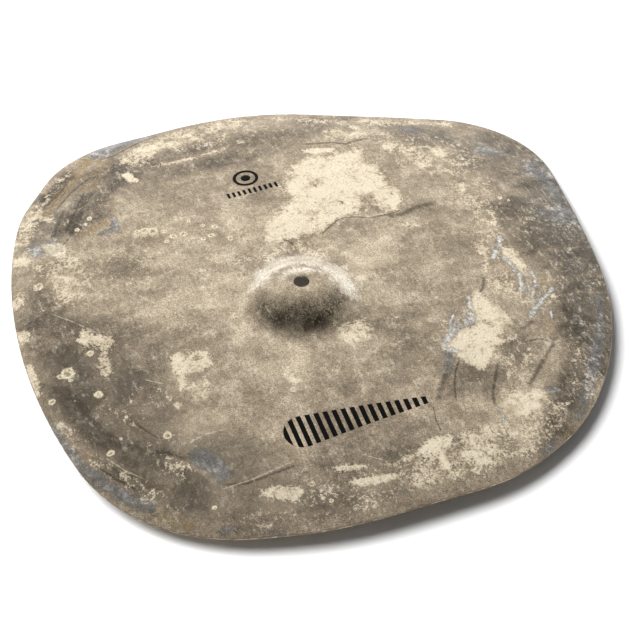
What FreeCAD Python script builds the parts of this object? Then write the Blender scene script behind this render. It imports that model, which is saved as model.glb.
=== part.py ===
import FreeCAD, Part
import math
import os
import Sketcher

# A free-form crash cymbal: one bronze sheet, hammered to a low bow with a small bell at its middle,
# cut to a rounded irregular outline, bored for its stand rod, and printed on top with ink marks.
# Millimetres. The origin is where the bore's axis meets the top of the bell, and Z is up.

doc = FreeCAD.newDocument("crash_cymbal")
sheet = doc.addObject("Spreadsheet::Sheet", "Sizes")

SIZES = [
    # the bore for the stand rod
    ("bore_radius", 6.0),
    # the section through the sheet
    ("sheet_thickness", 1.3),
    ("rim_thickness", 0.9),
    ("bell_radius", 54.0),
    ("bell_height", 17.5),
    ("bell_root_radius", 34.0),
    ("bow_radius", 1400.0),
    ("shoulder_reach", 205.0),
    ("shoulder_radius", 220.0),
    ("flare_angle", 16.0),
    ("blank_radius", 296.0),
    # the outline's corner circles, from the one at the longest reach and round anticlockwise
    ("nose_x", 166.0),
    ("nose_y", 106.0),
    ("nose_radius", 90.0),
    ("back_x", -7.0),
    ("back_y", 16.0),
    ("back_radius", 233.0),
    ("rear_left_x", -73.0),
    ("rear_left_y", 142.0),
    ("rear_left_radius", 112.0),
    ("front_left_x", -71.0),
    ("front_left_y", -66.0),
    ("front_left_radius", 143.0),
    ("front_right_x", 76.0),
    ("front_right_y", -82.0),
    ("front_right_radius", 129.0),
    ("right_x", 4.0),
    ("right_y", 10.0),
    ("right_radius", 243.0),
    # the outline's sides between those corners; the one after the back corner is straight
    ("waist_radius", 800.0),
    ("left_side_radius", 430.0),
    ("front_side_radius", 420.0),
    ("low_right_side_radius", 260.0),
    ("right_side_radius", 1210.0),
    # the ink
    ("ink_thickness", 0.1),
    ("prism_height", 40.0),
    # the mark on the front: upright bars, cut to the shape of a note that dies away
    ("front_mark_x", -46.0),
    ("front_mark_y", -130.0),
    ("front_mark_length", 103.0),
    ("front_mark_head_radius", 14.5),
    ("front_mark_tail_radius", 3.0),
    ("front_bar_width", 3.8),
    ("front_bar_pitch", 6.9),
    # the mark at the back: a ring round a dot, over a row of ticks
    ("rear_mark_x", 7.0),
    ("rear_mark_y", 155.0),
    ("ring_radius", 10.5),
    ("ring_width", 2.6),
    ("dot_radius", 4.0),
    ("tick_row_x", -14.6),
    ("tick_row_y", 133.8),
    ("tick_width", 2.2),
    ("tick_height", 6.4),
    ("tick_pitch", 4.5),
]
FRONT_BARS = 17
TICKS = 10

# The range for the trimmed blank's volume, as shares of the whole blank's.
TRIMMED_SHARE = (0.5, 0.95)
# The least volume that the bore takes, in cubic millimetres.
BORE_WASTE = 100.0

for row, (alias, value) in enumerate(SIZES, start=1):
    sheet.set(f"A{row}", alias)
    sheet.set(f"B{row}", str(value))
    sheet.setAlias(f"B{row}", alias)
doc.recompute()


def size(alias):
    """The value of one cell of the sheet."""
    return float(getattr(sheet, alias))


def point(x, y):
    return FreeCAD.Vector(x, y, 0)


def arc(centre, radius, start, end):
    """An anticlockwise arc in a sketch, between two angles in radians."""
    circle = Part.Circle(point(*centre), FreeCAD.Vector(0, 0, 1), radius)
    return Part.ArcOfCircle(circle, start, end)


def line(start, end):
    return Part.LineSegment(point(*start), point(*end))


def origin_plane(body, role):
    return next(f for f in body.Origin.OriginFeatures if f.Role == role)


def new_sketch(body, name, role):
    sketch = body.newObject("Sketcher::SketchObject", name)
    sketch.AttachmentSupport = (origin_plane(body, role), [""])
    sketch.MapMode = "FlatFace"
    return sketch


def bind(sketch, kind, references, name, expression, value):
    """Add one dimension to a sketch and tie it to the sheet."""
    index = sketch.addConstraint(Sketcher.Constraint(kind, *references, value))
    sketch.renameConstraint(index, name)
    sketch.setExpression(f"Constraints.{name}", expression)


def join(sketch, kind, *ends):
    """Join the ends of curves in pairs: each of ends is (curve, end, next curve, its end)."""
    for pair in ends:
        sketch.addConstraint(Sketcher.Constraint(kind, *pair))


START, END, CENTRE = 1, 2, 3
AXIS_ORIGIN = (-1, 1)
VERTICAL_AXIS = -2


# --- The section of the sheet -------------------------------------------------------------------

def section_angles():
    """The slope of the top surface, in radians, where each curve of the section meets the next."""
    bow = math.asin(size("bell_radius") / size("bow_radius"))
    root = size("bell_root_radius")
    across = size("bell_radius") + root * math.sin(bow)
    down = size("bell_height") + root * (1 - math.cos(bow))
    dome = 2 * math.atan2(down, across)
    shoulder = math.asin(size("shoulder_reach") / size("bow_radius"))
    return dome, bow, shoulder, math.radians(size("flare_angle"))


def section_centres(angles):
    """The centre and radius of the top surface's dome, root, bow and shoulder."""
    dome_slope, bow_slope, shoulder_slope, _ = angles
    root_radius = size("bell_root_radius")
    bow_radius = size("bow_radius")
    shoulder_radius = size("shoulder_radius")
    root_x = size("bell_radius") + root_radius * math.sin(bow_slope)
    root_z = -size("bell_height") + root_radius * math.cos(bow_slope)
    dome_radius = root_x / math.sin(dome_slope) - root_radius
    bow_z = -size("bell_height") - bow_radius * math.cos(bow_slope)
    inward = bow_radius - shoulder_radius
    shoulder_x = inward * math.sin(shoulder_slope)
    shoulder_z = bow_z + inward * math.cos(shoulder_slope)
    return (
        ((0.0, -dome_radius), dome_radius),
        ((root_x, root_z), root_radius),
        ((0.0, bow_z), bow_radius),
        ((shoulder_x, shoulder_z), shoulder_radius),
    )


def draw_section(sketch):
    """A closed half section: the top surface outwards, the cut edge, and the underside back to the axis."""
    angles = section_angles()
    dome_slope, bow_slope, shoulder_slope, flare_slope = angles
    (dome, dome_r), (root, root_r), (bow, bow_r), (shoulder, shoulder_r) = section_centres(angles)
    thick = size("sheet_thickness")
    edge = size("rim_thickness")
    reach = size("blank_radius")
    up = math.pi / 2

    def arcs(offset):
        """The four arcs of one surface, offset downwards from the top one."""
        return [
            arc(dome, dome_r - offset, up - dome_slope, up),
            arc(root, root_r + offset, up + math.pi - dome_slope, up + math.pi - bow_slope),
            arc(bow, bow_r - offset, up - shoulder_slope, up - bow_slope),
            arc(shoulder, shoulder_r - offset, up - flare_slope, up - shoulder_slope),
        ]

    def foot(offset):
        """Where the shoulder's arc ends, on one surface."""
        radius = shoulder_r - offset
        return (
            shoulder[0] + radius * math.sin(flare_slope),
            shoulder[1] + radius * math.cos(flare_slope),
        )

    top_foot = foot(0)
    top_edge = (reach, top_foot[1] - (reach - top_foot[0]) * math.tan(flare_slope))
    low_edge = (reach, top_edge[1] - edge)
    sketch.addGeometry(arcs(0), False)
    sketch.addGeometry(line(top_foot, top_edge), False)
    sketch.addGeometry(line(top_edge, low_edge), False)
    sketch.addGeometry(line(low_edge, foot(thick)), False)
    sketch.addGeometry(arcs(thick), False)
    sketch.addGeometry(line((0, -thick), (0, 0)), False)
    t_dome, t_root, t_bow, t_shoulder, t_flare = range(5)
    cut, u_flare, u_dome, u_root, u_bow, u_shoulder, middle = range(5, 12)

    join(
        sketch,
        "Tangent",
        (t_dome, START, t_root, START),
        (t_root, END, t_bow, END),
        (t_bow, START, t_shoulder, END),
        (t_shoulder, START, t_flare, START),
        (u_flare, END, u_shoulder, START),
        (u_shoulder, END, u_bow, START),
        (u_bow, END, u_root, END),
        (u_root, START, u_dome, START),
    )
    join(
        sketch,
        "Coincident",
        (t_dome, END, *AXIS_ORIGIN),
        (t_flare, END, cut, START),
        (cut, END, u_flare, START),
        (u_dome, END, middle, START),
        (middle, END, t_dome, END),
        (u_dome, CENTRE, t_dome, CENTRE),
        (u_root, CENTRE, t_root, CENTRE),
        (u_bow, CENTRE, t_bow, CENTRE),
        (u_shoulder, CENTRE, t_shoulder, CENTRE),
    )
    for curve in (t_dome, t_bow):
        sketch.addConstraint(Sketcher.Constraint("PointOnObject", curve, CENTRE, VERTICAL_AXIS))
    for curve in (cut, middle):
        sketch.addConstraint(Sketcher.Constraint("Vertical", curve))
    origin = AXIS_ORIGIN
    bell_end = (t_root, END)
    bind(sketch, "DistanceX", (*origin, *bell_end), "bell_reach", "Sizes.bell_radius", size("bell_radius"))
    bind(sketch, "DistanceY", (*bell_end, *origin), "bell_rise", "Sizes.bell_height", size("bell_height"))
    bind(sketch, "Radius", (t_root,), "root", "Sizes.bell_root_radius", root_r)
    bind(sketch, "Radius", (t_bow,), "bow", "Sizes.bow_radius", bow_r)
    bow_end = (t_bow, START)
    bow_reach = size("shoulder_reach")
    bind(sketch, "DistanceX", (*origin, *bow_end), "bow_reach", "Sizes.shoulder_reach", bow_reach)
    bind(sketch, "Radius", (t_shoulder,), "shoulder", "Sizes.shoulder_radius", shoulder_r)
    bind(sketch, "Angle", (t_flare,), "flare", "-Sizes.flare_angle * 1 deg", -flare_slope)
    bind(sketch, "DistanceX", (*origin, t_flare, END), "blank", "Sizes.blank_radius", reach)
    bind(sketch, "DistanceY", (middle, START, middle, END), "thickness", "Sizes.sheet_thickness", thick)
    bind(sketch, "DistanceY", (cut, END, cut, START), "edge", "Sizes.rim_thickness", edge)


# --- The outline --------------------------------------------------------------------------------

CORNERS = ["nose", "back", "rear_left", "front_left", "front_right", "right"]
# Each side joins its corner to the next one: the sheet's name for its radius, and which way it bends.
SIDES = [
    ("waist_radius", -1),
    (None, 0),
    ("left_side_radius", 1),
    ("front_side_radius", 1),
    ("low_right_side_radius", 1),
    ("right_side_radius", 1),
]


def side_centre(here, there, radius):
    """The centre of the arc that touches two corner circles, each given as (x, y, radius).

    The arc's own radius is negative when it bends inwards.
    """
    (x, y, r), (next_x, next_y, next_r) = here, there
    span = math.hypot(next_x - x, next_y - y)
    near, far = abs(radius - r), abs(radius - next_r)
    along = (near**2 - far**2 + span**2) / (2 * span)
    across = math.copysign(math.sqrt(near**2 - along**2), radius)
    step_x, step_y = (next_x - x) / span, (next_y - y) / span
    return x + along * step_x - across * step_y, y + along * step_y + across * step_x


def touching_angles(here, there, side):
    """The angles on two corner circles where the side between them touches, and the side's own centre."""
    alias, bend = side
    (x, y, r), (next_x, next_y, next_r) = here, there
    if bend == 0:
        heading = math.atan2(next_y - y, next_x - x)
        lean = math.acos((r - next_r) / math.hypot(next_x - x, next_y - y))
        return heading - lean, heading - lean, None
    centre = side_centre(here, there, bend * size(alias))
    angles = [math.atan2(bend * (v - centre[1]), bend * (u - centre[0])) for u, v, _ in (here, there)]
    return angles[0], angles[1], centre


def draw_outline(sketch):
    """The closed outline: corner arcs joined by sides that touch them."""
    circles = [tuple(size(f"{name}_{part}") for part in ("x", "y", "radius")) for name in CORNERS]
    count = len(circles)
    touches = [touching_angles(circles[i], circles[(i + 1) % count], SIDES[i]) for i in range(count)]

    def on(index, angle):
        x, y, r = circles[index % count]
        return x + r * math.cos(angle), y + r * math.sin(angle)

    for i, (x, y, r) in enumerate(circles):
        sketch.addGeometry(arc((x, y), r, touches[i - 1][1], touches[i][0]), False)
    for i, (alias, bend) in enumerate(SIDES):
        leave, arrive, centre = touches[i]
        if bend == 0:
            sketch.addGeometry(line(on(i, leave), on(i + 1, arrive)), False)
        elif bend > 0:
            sketch.addGeometry(arc(centre, size(alias), leave, arrive), False)
        else:
            sketch.addGeometry(arc(centre, size(alias), arrive + math.pi, leave + math.pi), False)

    for i, (alias, bend) in enumerate(SIDES):
        side = count + i
        first, last = (START, END) if bend >= 0 else (END, START)
        join(sketch, "Tangent", (i, END, side, first), (side, last, (i + 1) % count, START))
        if alias:
            bind(sketch, "Radius", (side,), alias, f"Sizes.{alias}", size(alias))
    for i, name in enumerate(CORNERS):
        x, y, r = circles[i]
        bind(sketch, "DistanceX", (*AXIS_ORIGIN, i, CENTRE), f"{name}_x", f"Sizes.{name}_x", x)
        bind(sketch, "DistanceY", (*AXIS_ORIGIN, i, CENTRE), f"{name}_y", f"Sizes.{name}_y", y)
        bind(sketch, "Radius", (i,), f"{name}_r", f"Sizes.{name}_radius", r)


# --- The plate ----------------------------------------------------------------------------------

def make_plate():
    """Spin the section round the bore's axis, cut the blank to its outline, and bore it."""
    body = doc.addObject("PartDesign::Body", "BronzePlate")
    body.Label = "bronze_plate"

    section = new_sketch(body, "Section", "XZ_Plane")
    draw_section(section)
    blank = body.newObject("PartDesign::Revolution", "Blank")
    blank.Profile = section
    blank.ReferenceAxis = (section, ["V_Axis"])
    blank.Angle = 360
    doc.recompute()
    blank_volume = blank.Shape.Volume

    outline = new_sketch(body, "Outline", "XY_Plane")
    draw_outline(outline)
    waste = 2 * size("blank_radius")
    outline.addGeometry(Part.Circle(point(0, 0), FreeCAD.Vector(0, 0, 1), waste), False)
    ring = outline.GeometryCount - 1
    outline.addConstraint(Sketcher.Constraint("Coincident", ring, CENTRE, *AXIS_ORIGIN))
    bind(outline, "Radius", (ring,), "waste", "2 * Sizes.blank_radius", waste)
    trim = body.newObject("PartDesign::Pocket", "Trim")
    trim.Profile = outline
    trim.Type = "ThroughAll"
    trim.Midplane = True
    doc.recompute()
    trimmed_volume = trim.Shape.Volume
    least, most = TRIMMED_SHARE
    if not least * blank_volume < trimmed_volume < most * blank_volume:
        raise RuntimeError("the outline did not cut the blank")

    bore_circle = new_sketch(body, "BoreCircle", "XY_Plane")
    bore_circle.addGeometry(Part.Circle(point(0, 0), FreeCAD.Vector(0, 0, 1), size("bore_radius")), False)
    bore_circle.addConstraint(Sketcher.Constraint("Coincident", 0, CENTRE, *AXIS_ORIGIN))
    bind(bore_circle, "Radius", (0,), "bore", "Sizes.bore_radius", size("bore_radius"))
    bore = body.newObject("PartDesign::Pocket", "Bore")
    bore.Profile = bore_circle
    bore.Type = "ThroughAll"
    bore.Midplane = True
    doc.recompute()
    if bore.Shape.Volume > trimmed_volume - BORE_WASTE:
        raise RuntimeError("the bore cut nothing")
    body.Tip = bore
    return body


# --- The ink ------------------------------------------------------------------------------------

def make_film():
    """A thin skin of ink on the bow's top surface, from which the marks are cut."""
    bow = math.asin(size("bell_radius") / size("bow_radius"))
    centre_z = "(-Sizes.bell_height - sqrt(Sizes.bow_radius ^ 2 - Sizes.bell_radius ^ 2))"
    height = -size("bell_height") - size("bow_radius") * math.cos(bow)
    balls = []
    surfaces = (
        ("FilmOuter", "Sizes.bow_radius + Sizes.ink_thickness"),
        ("FilmInner", "Sizes.bow_radius"),
    )
    for name, radius in surfaces:
        ball = doc.addObject("Part::Sphere", name)
        ball.setExpression("Radius", radius)
        ball.Placement.Base = FreeCAD.Vector(0, 0, height)
        ball.setExpression("Placement.Base.z", centre_z)
        balls.append(ball)
    film = doc.addObject("Part::Cut", "Film")
    film.Base, film.Tool = balls
    return film


def upright_box(name, x, y, length, width):
    """A tall box that stands through the film. Its sizes are expressions."""
    box = doc.addObject("Part::Box", name)
    box.setExpression("Length", length)
    box.setExpression("Width", width)
    box.setExpression("Height", "Sizes.prism_height")
    box.setExpression("Placement.Base.x", x)
    box.setExpression("Placement.Base.y", y)
    box.setExpression("Placement.Base.z", "-Sizes.prism_height")
    return box


def upright_cylinder(name, x, y, radius):
    """A tall cylinder that stands through the film. Its sizes are expressions."""
    cylinder = doc.addObject("Part::Cylinder", name)
    cylinder.setExpression("Radius", radius)
    cylinder.setExpression("Height", "Sizes.prism_height")
    cylinder.setExpression("Placement.Base.x", x)
    cylinder.setExpression("Placement.Base.y", y)
    cylinder.setExpression("Placement.Base.z", "-Sizes.prism_height")
    return cylinder


def on_film(name, label, film, shapes):
    """The part of the film that lies inside all of shapes, as a sub-part."""
    mark = doc.addObject("Part::MultiCommon", name)
    mark.Shapes = [film, *shapes]
    mark.Label = label
    return mark


def make_front_mark(film):
    """A row of bars, cut to a tapered slot: a large round head, and straight sides to a small tail."""
    body = doc.addObject("PartDesign::Body", "NoteShape")
    sketch = new_sketch(body, "NoteOutline", "XY_Plane")
    head = (size("front_mark_x"), size("front_mark_y"), size("front_mark_head_radius"))
    tail = (head[0] + size("front_mark_length"), head[1], size("front_mark_tail_radius"))
    lean = math.acos((head[2] - tail[2]) / size("front_mark_length"))

    def on(circle, angle):
        return circle[0] + circle[2] * math.cos(angle), circle[1] + circle[2] * math.sin(angle)

    sketch.addGeometry(
        [
            arc(head[:2], head[2], lean, 2 * math.pi - lean),
            line(on(head, -lean), on(tail, -lean)),
            arc(tail[:2], tail[2], -lean, lean),
            line(on(tail, lean), on(head, lean)),
        ],
        False,
    )
    head_arc, low_side, tail_arc, high_side = range(4)
    join(
        sketch,
        "Tangent",
        (head_arc, END, low_side, START),
        (low_side, END, tail_arc, START),
        (tail_arc, END, high_side, START),
        (high_side, END, head_arc, START),
    )
    for curve, name, circle in ((head_arc, "head", head), (tail_arc, "tail", tail)):
        along = "Sizes.front_mark_x" + (" + Sizes.front_mark_length" if name == "tail" else "")
        bind(sketch, "DistanceX", (*AXIS_ORIGIN, curve, CENTRE), f"{name}_x", along, circle[0])
        bind(sketch, "DistanceY", (*AXIS_ORIGIN, curve, CENTRE), f"{name}_y", "Sizes.front_mark_y", circle[1])
        bind(sketch, "Radius", (curve,), f"{name}_r", f"Sizes.front_mark_{name}_radius", circle[2])
    pad = body.newObject("PartDesign::Pad", "NotePrism")
    pad.Profile = sketch
    pad.setExpression("Length", "Sizes.prism_height")
    pad.Reversed = True

    left = "Sizes.front_mark_x - Sizes.front_mark_head_radius"
    low = "Sizes.front_mark_y - Sizes.front_mark_head_radius"
    width = "Sizes.front_bar_width"
    height = "2 * Sizes.front_mark_head_radius"
    bars = []
    for i in range(FRONT_BARS):
        x = f"{left} + {i} * Sizes.front_bar_pitch"
        bars.append(upright_box(f"FrontBar{i}", x, low, width, height))
    row = doc.addObject("Part::MultiFuse", "FrontBars")
    row.Shapes = bars
    return on_film("FrontMark", "front_ink_mark", film, [body, row])


def make_rear_emblem(film):
    """A ring round a dot."""
    place = ("Sizes.rear_mark_x", "Sizes.rear_mark_y")
    disc = upright_cylinder("RingDisc", *place, "Sizes.ring_radius")
    hollow = upright_cylinder("RingHollow", *place, "Sizes.ring_radius - Sizes.ring_width")
    dot = upright_cylinder("Dot", *place, "Sizes.dot_radius")
    ring = doc.addObject("Part::Cut", "Ring")
    ring.Base = disc
    ring.Tool = hollow
    emblem = doc.addObject("Part::MultiFuse", "RingAndDot")
    emblem.Shapes = [ring, dot]
    return on_film("RearEmblem", "rear_ink_emblem", film, [emblem])


def make_rear_ticks(film):
    """A short row of equal ticks under the emblem."""
    ticks = []
    for i in range(TICKS):
        x = f"Sizes.tick_row_x + {i} * Sizes.tick_pitch"
        ticks.append(upright_box(f"Tick{i}", x, "Sizes.tick_row_y", "Sizes.tick_width", "Sizes.tick_height"))
    row = doc.addObject("Part::MultiFuse", "Ticks")
    row.Shapes = ticks
    return on_film("RearTicks", "rear_ink_ticks", film, [row])


plate = make_plate()
film = make_film()
doc.recompute()
nodes = [plate, make_front_mark(film), make_rear_emblem(film), make_rear_ticks(film)]
doc.recompute()

for thing in doc.Objects:
    if "Invalid" in thing.State or "Error" in thing.State:
        raise RuntimeError(f"{thing.Label} failed: {thing.State}")
for node in nodes:
    if node.Shape.isNull() or not node.Shape.isValid():
        raise RuntimeError(f"{node.Label} has no sound shape")

os.makedirs("parts", exist_ok=True)
for node in nodes:
    node.Shape.exportStep(f"parts/{node.Label}.step")
    print(f"{node.Label}: {len(node.Shape.Solids)} solids, {node.Shape.Volume:.0f} cubic millimetres")
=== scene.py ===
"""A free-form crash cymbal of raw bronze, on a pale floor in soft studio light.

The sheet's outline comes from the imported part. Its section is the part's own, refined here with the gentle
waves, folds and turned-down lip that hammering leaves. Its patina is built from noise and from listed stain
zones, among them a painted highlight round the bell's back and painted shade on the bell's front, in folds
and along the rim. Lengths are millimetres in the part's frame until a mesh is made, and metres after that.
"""

import math

import bmesh
import bpy
import numpy as np
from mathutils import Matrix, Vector


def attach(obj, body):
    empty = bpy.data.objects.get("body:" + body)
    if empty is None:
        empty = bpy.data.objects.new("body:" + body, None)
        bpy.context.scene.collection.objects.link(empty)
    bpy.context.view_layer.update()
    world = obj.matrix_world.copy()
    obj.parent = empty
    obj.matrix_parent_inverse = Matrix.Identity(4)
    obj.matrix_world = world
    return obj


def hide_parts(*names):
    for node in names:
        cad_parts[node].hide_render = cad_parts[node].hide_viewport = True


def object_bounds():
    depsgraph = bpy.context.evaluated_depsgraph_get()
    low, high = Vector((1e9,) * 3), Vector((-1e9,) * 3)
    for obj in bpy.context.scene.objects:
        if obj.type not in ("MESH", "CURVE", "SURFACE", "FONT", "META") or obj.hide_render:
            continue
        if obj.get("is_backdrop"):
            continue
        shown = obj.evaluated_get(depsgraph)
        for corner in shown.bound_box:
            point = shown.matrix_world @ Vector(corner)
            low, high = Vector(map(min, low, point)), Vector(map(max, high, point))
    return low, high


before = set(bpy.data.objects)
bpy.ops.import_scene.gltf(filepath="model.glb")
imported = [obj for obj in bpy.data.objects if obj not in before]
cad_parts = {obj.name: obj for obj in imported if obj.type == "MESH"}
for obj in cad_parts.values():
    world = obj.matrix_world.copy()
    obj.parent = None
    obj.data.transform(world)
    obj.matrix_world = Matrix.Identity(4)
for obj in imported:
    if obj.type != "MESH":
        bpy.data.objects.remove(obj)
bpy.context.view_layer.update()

MM = 0.001
TURN = 2 * math.pi
SEED = 7

# The sheet's section, as the part is built.
BELL_RADIUS = 54.0
BELL_HEIGHT = 17.5
BELL_ROOT_RADIUS = 34.0
BOW_RADIUS = 1400.0
SHOULDER_REACH = 205.0
SHOULDER_RADIUS = 220.0
FLARE = math.radians(16.0)
SHEET = 1.3
RIM_SHEET = 0.9
BORE_RADIUS = 6.0
FORM_TOLERANCE = 0.2


# --- The form of the sheet ------------------------------------------------------------------------

def smooth(low, high, value):
    """0 below low, 1 above high, and a smooth step between them."""
    t = np.clip((value - low) / (high - low), 0.0, 1.0)
    return t * t * (3.0 - 2.0 * t)


def section(r):
    """The height of the top surface at a distance r from the bore's axis."""
    r = np.asarray(r, float)
    bow_slope = math.asin(BELL_RADIUS / BOW_RADIUS)
    root_x = BELL_RADIUS + BELL_ROOT_RADIUS * math.sin(bow_slope)
    root_z = -BELL_HEIGHT + BELL_ROOT_RADIUS * math.cos(bow_slope)
    dome_slope = 2 * math.atan2(BELL_HEIGHT + BELL_ROOT_RADIUS * (1 - math.cos(bow_slope)), root_x)
    dome_radius = root_x / math.sin(dome_slope) - BELL_ROOT_RADIUS
    bow_z = -BELL_HEIGHT - BOW_RADIUS * math.cos(bow_slope)
    shoulder_slope = math.asin(SHOULDER_REACH / BOW_RADIUS)
    inward = BOW_RADIUS - SHOULDER_RADIUS
    shoulder_x = inward * math.sin(shoulder_slope)
    shoulder_z = bow_z + inward * math.cos(shoulder_slope)
    foot_r = shoulder_x + SHOULDER_RADIUS * math.sin(FLARE)
    foot_z = shoulder_z + SHOULDER_RADIUS * math.cos(FLARE)

    def arc(centre_x, radius):
        return np.sqrt(np.clip(radius**2 - (r - centre_x) ** 2, 0.0, None))

    dome = arc(0.0, dome_radius) - dome_radius
    root = root_z - arc(root_x, BELL_ROOT_RADIUS)
    bow = bow_z + arc(0.0, BOW_RADIUS)
    shoulder = shoulder_z + arc(shoulder_x, SHOULDER_RADIUS)
    flare = foot_z - (r - foot_r) * math.tan(FLARE)
    dome_reach = dome_radius * math.sin(dome_slope)
    places = [r < dome_reach, r < BELL_RADIUS, r < SHOULDER_REACH, r < foot_r]
    return np.select(places, [dome, root, bow, shoulder], flare)


def check_section(node):
    """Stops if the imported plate's top surface isn't the section above."""
    mesh = node.data
    places = np.array([v.co for v in mesh.vertices]) / MM
    top = sorted({i for p in mesh.polygons if p.normal.z > 0.5 for i in p.vertices})
    r = np.hypot(places[top, 0], places[top, 1])
    gap = np.abs(places[top, 2] - section(r)).max()
    if gap > FORM_TOLERANCE:
        raise RuntimeError(f"the packed plate stands {gap:.2f} mm off this script's section")


def periodic_cubic(angles, values, at):
    """A smooth closed curve through values at sorted angles, read at other angles. Radians."""
    angles = np.concatenate([angles[-2:] - TURN, angles, angles[:2] + TURN])
    values = np.concatenate([values[-2:], values, values[:2]])
    slopes = np.gradient(values, angles)
    at = (np.asarray(at) - angles[1]) % TURN + angles[1]
    i = np.clip(np.searchsorted(angles, at) - 1, 0, len(angles) - 2)
    step = angles[i + 1] - angles[i]
    t = (at - angles[i]) / step
    return (
        (2 * t**3 - 3 * t**2 + 1) * values[i]
        + (t**3 - 2 * t**2 + t) * step * slopes[i]
        + (3 * t**2 - 2 * t**3) * values[i + 1]
        + (t**3 - t**2) * step * slopes[i + 1]
    )


# The cut edge's faces stand nearly upright, and are at least this far from the bore.
UPRIGHT = 0.1
CUT_EDGE_FROM = 60.0


def rim_of(node):
    """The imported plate's rim, as sorted angles and the reach at each, read from its cut edge."""
    mesh = node.data
    edge = {
        i
        for p in mesh.polygons
        if abs(p.normal.z) < UPRIGHT and math.hypot(p.center.x, p.center.y) > CUT_EDGE_FROM * MM
        for i in p.vertices
    }
    places = np.array([mesh.vertices[i].co for i in edge]) / MM
    angles = np.round(np.arctan2(places[:, 1], places[:, 0]), 4)
    angles, first = np.unique(angles, return_index=True)
    return angles, np.hypot(places[first, 0], places[first, 1])


plate_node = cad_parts["bronze_plate"]
check_section(plate_node)
RIM_ANGLES, RIM_REACH = rim_of(plate_node)

# The small waves of a rim cut by hand: degrees round the bore, and millimetres further out.
RIM_WAVES = [
    (-175, 0), (-155, 0.8), (-125, 0.8), (-105, 2.4), (-82, 0.4), (-68, 2.8), (-55, -0.8), (-45, 0.5),
    (-15, 0), (15, 0.4), (32, 2.6), (50, 1.6), (64, 0), (80, 1), (93, 2.4), (102, 1), (110, 2.4), (118, 1.2),
    (126, -3.4), (134, 0.2), (142, 0), (162, -0.6),
]
WAVE_ANGLES, WAVE_REACH = np.array(RIM_WAVES, float).T
WAVE_ANGLES = np.radians(WAVE_ANGLES)


def rim(angle):
    """How far the rim is from the bore's axis."""
    return periodic_cubic(RIM_ANGLES, RIM_REACH, angle) + periodic_cubic(WAVE_ANGLES, WAVE_REACH, angle)


def path_distance(x, y, points):
    """How far places are from a bent line, how far along it they are, and on which side.

    How far along runs from 0 to 1. The side is 1 on the left and -1 on the right.
    """
    best = np.full(np.shape(x), 1e9)
    along = np.zeros(np.shape(x))
    side = np.ones(np.shape(x))
    lengths = [math.dist(a, b) for a, b in zip(points, points[1:])]
    total = sum(lengths)
    gone = 0.0
    for (ax, ay), (bx, by), length in zip(points, points[1:], lengths):
        dx, dy = (bx - ax) / length, (by - ay) / length
        t = np.clip((x - ax) * dx + (y - ay) * dy, 0.0, length)
        d = np.hypot(x - ax - t * dx, y - ay - t * dy)
        nearer = d < best
        best = np.where(nearer, d, best)
        along = np.where(nearer, (gone + t) / total, along)
        side = np.where(nearer, np.sign(dx * (y - ay) - dy * (x - ax)), side)
        gone += length
    return best, along, side


def fade_ends(along, share):
    """1 along a path, and a smooth fall to 0 over this share of it at each end."""
    return smooth(0.0, share, along) * smooth(0.0, share, 1.0 - along)


def waves(x, y, length, tall, seed, count):
    """A gentle random swell of about the given wavelength and height."""
    rng = np.random.default_rng(seed)
    total = np.zeros(np.shape(x))
    for _ in range(count):
        heading = rng.uniform(0, TURN)
        number = TURN / (length * rng.uniform(0.75, 1.35))
        total += np.sin(number * (x * math.cos(heading) + y * math.sin(heading)) + rng.uniform(0, TURN))
    return tall * total / math.sqrt(count)


def fold(x, y, points, slope, width, depth):
    """A fold along a path, marked by a groove. On the right of its heading the sheet falls away more."""
    distance, along, side = path_distance(x, y, points)
    out = np.where(side < 0, distance, 0.0)
    fall = slope * (np.hypot(out, width) - width)
    marked = depth * np.exp(-((distance / width) ** 2))
    return -(fall + marked) * fade_ends(along, 0.15)


def valley(x, y, points, width, depth):
    """A soft valley along a path."""
    distance, along, _ = path_distance(x, y, points)
    return -depth * np.exp(-((distance / width) ** 2)) * fade_ends(along, 0.2)


# Each swell is its wavelength, height and number of waves, and the reaches where it starts and is full.
SWELLS = [(190.0, 0.8, 9, 20.0, 75.0), (75.0, 0.22, 9, 20.0, 75.0), (26.0, 0.045, 14, 10.0, 30.0)]
# Each fold is its path, its slope, its width and its groove's depth. Paths head anticlockwise
# round the bore.
FOLDS = [
    ([(-208, 12), (-200, -21), (-191, -56), (-184, -76), (-172, -96), (-150, -108), (-104, -150)],
     0.09, 5.0, 1.0),
    ([(60, -214), (104, -203), (150, -163), (186, -92), (197, -20), (196, 50), (203, 96), (200, 140)],
     0.055, 9.0, 0.15),
]
# Each valley is its path, its width and its depth.
VALLEYS = [
    ([(178, -92), (156, -114), (134, -138)], 3.5, 0.45),
    ([(-186, -112), (-170, -134), (-150, -150), (-122, -168)], 4.0, 0.5),
]
LIP_CENTRE = math.radians(105.0)
LIP_SPREAD = math.radians(13.0)
LIP_WIDTH = 12.0
LIP_SLOPE = 0.22
LIP_BEND = 1.2
# Near the rim the folds level out, so that the rim stays at about the section's height.
LEVEL_WIDTH = 60.0
LEVEL_SHARE = 0.85


def hammering(x, y):
    """The swells, folds, valleys and lip in the sheet, before they level out near the rim."""
    r = np.hypot(x, y)
    angle = np.arctan2(y, x)
    z = np.zeros(np.shape(x))
    for i, (length, tall, count, start, full) in enumerate(SWELLS):
        z += smooth(start, full, r) * waves(x, y, length, tall, SEED + i, count)
    for crease in FOLDS:
        z += fold(x, y, *crease)
    for dip in VALLEYS:
        z += valley(x, y, *dip)
    away = np.abs((angle - LIP_CENTRE + math.pi) % TURN - math.pi)
    width = LIP_WIDTH * smooth(1.0, 0.0, away / LIP_SPREAD)
    turned = np.clip(width - (rim(angle) - r), 0.0, None)
    return z - LIP_SLOPE * (np.hypot(turned, LIP_BEND) - LIP_BEND)


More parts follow.
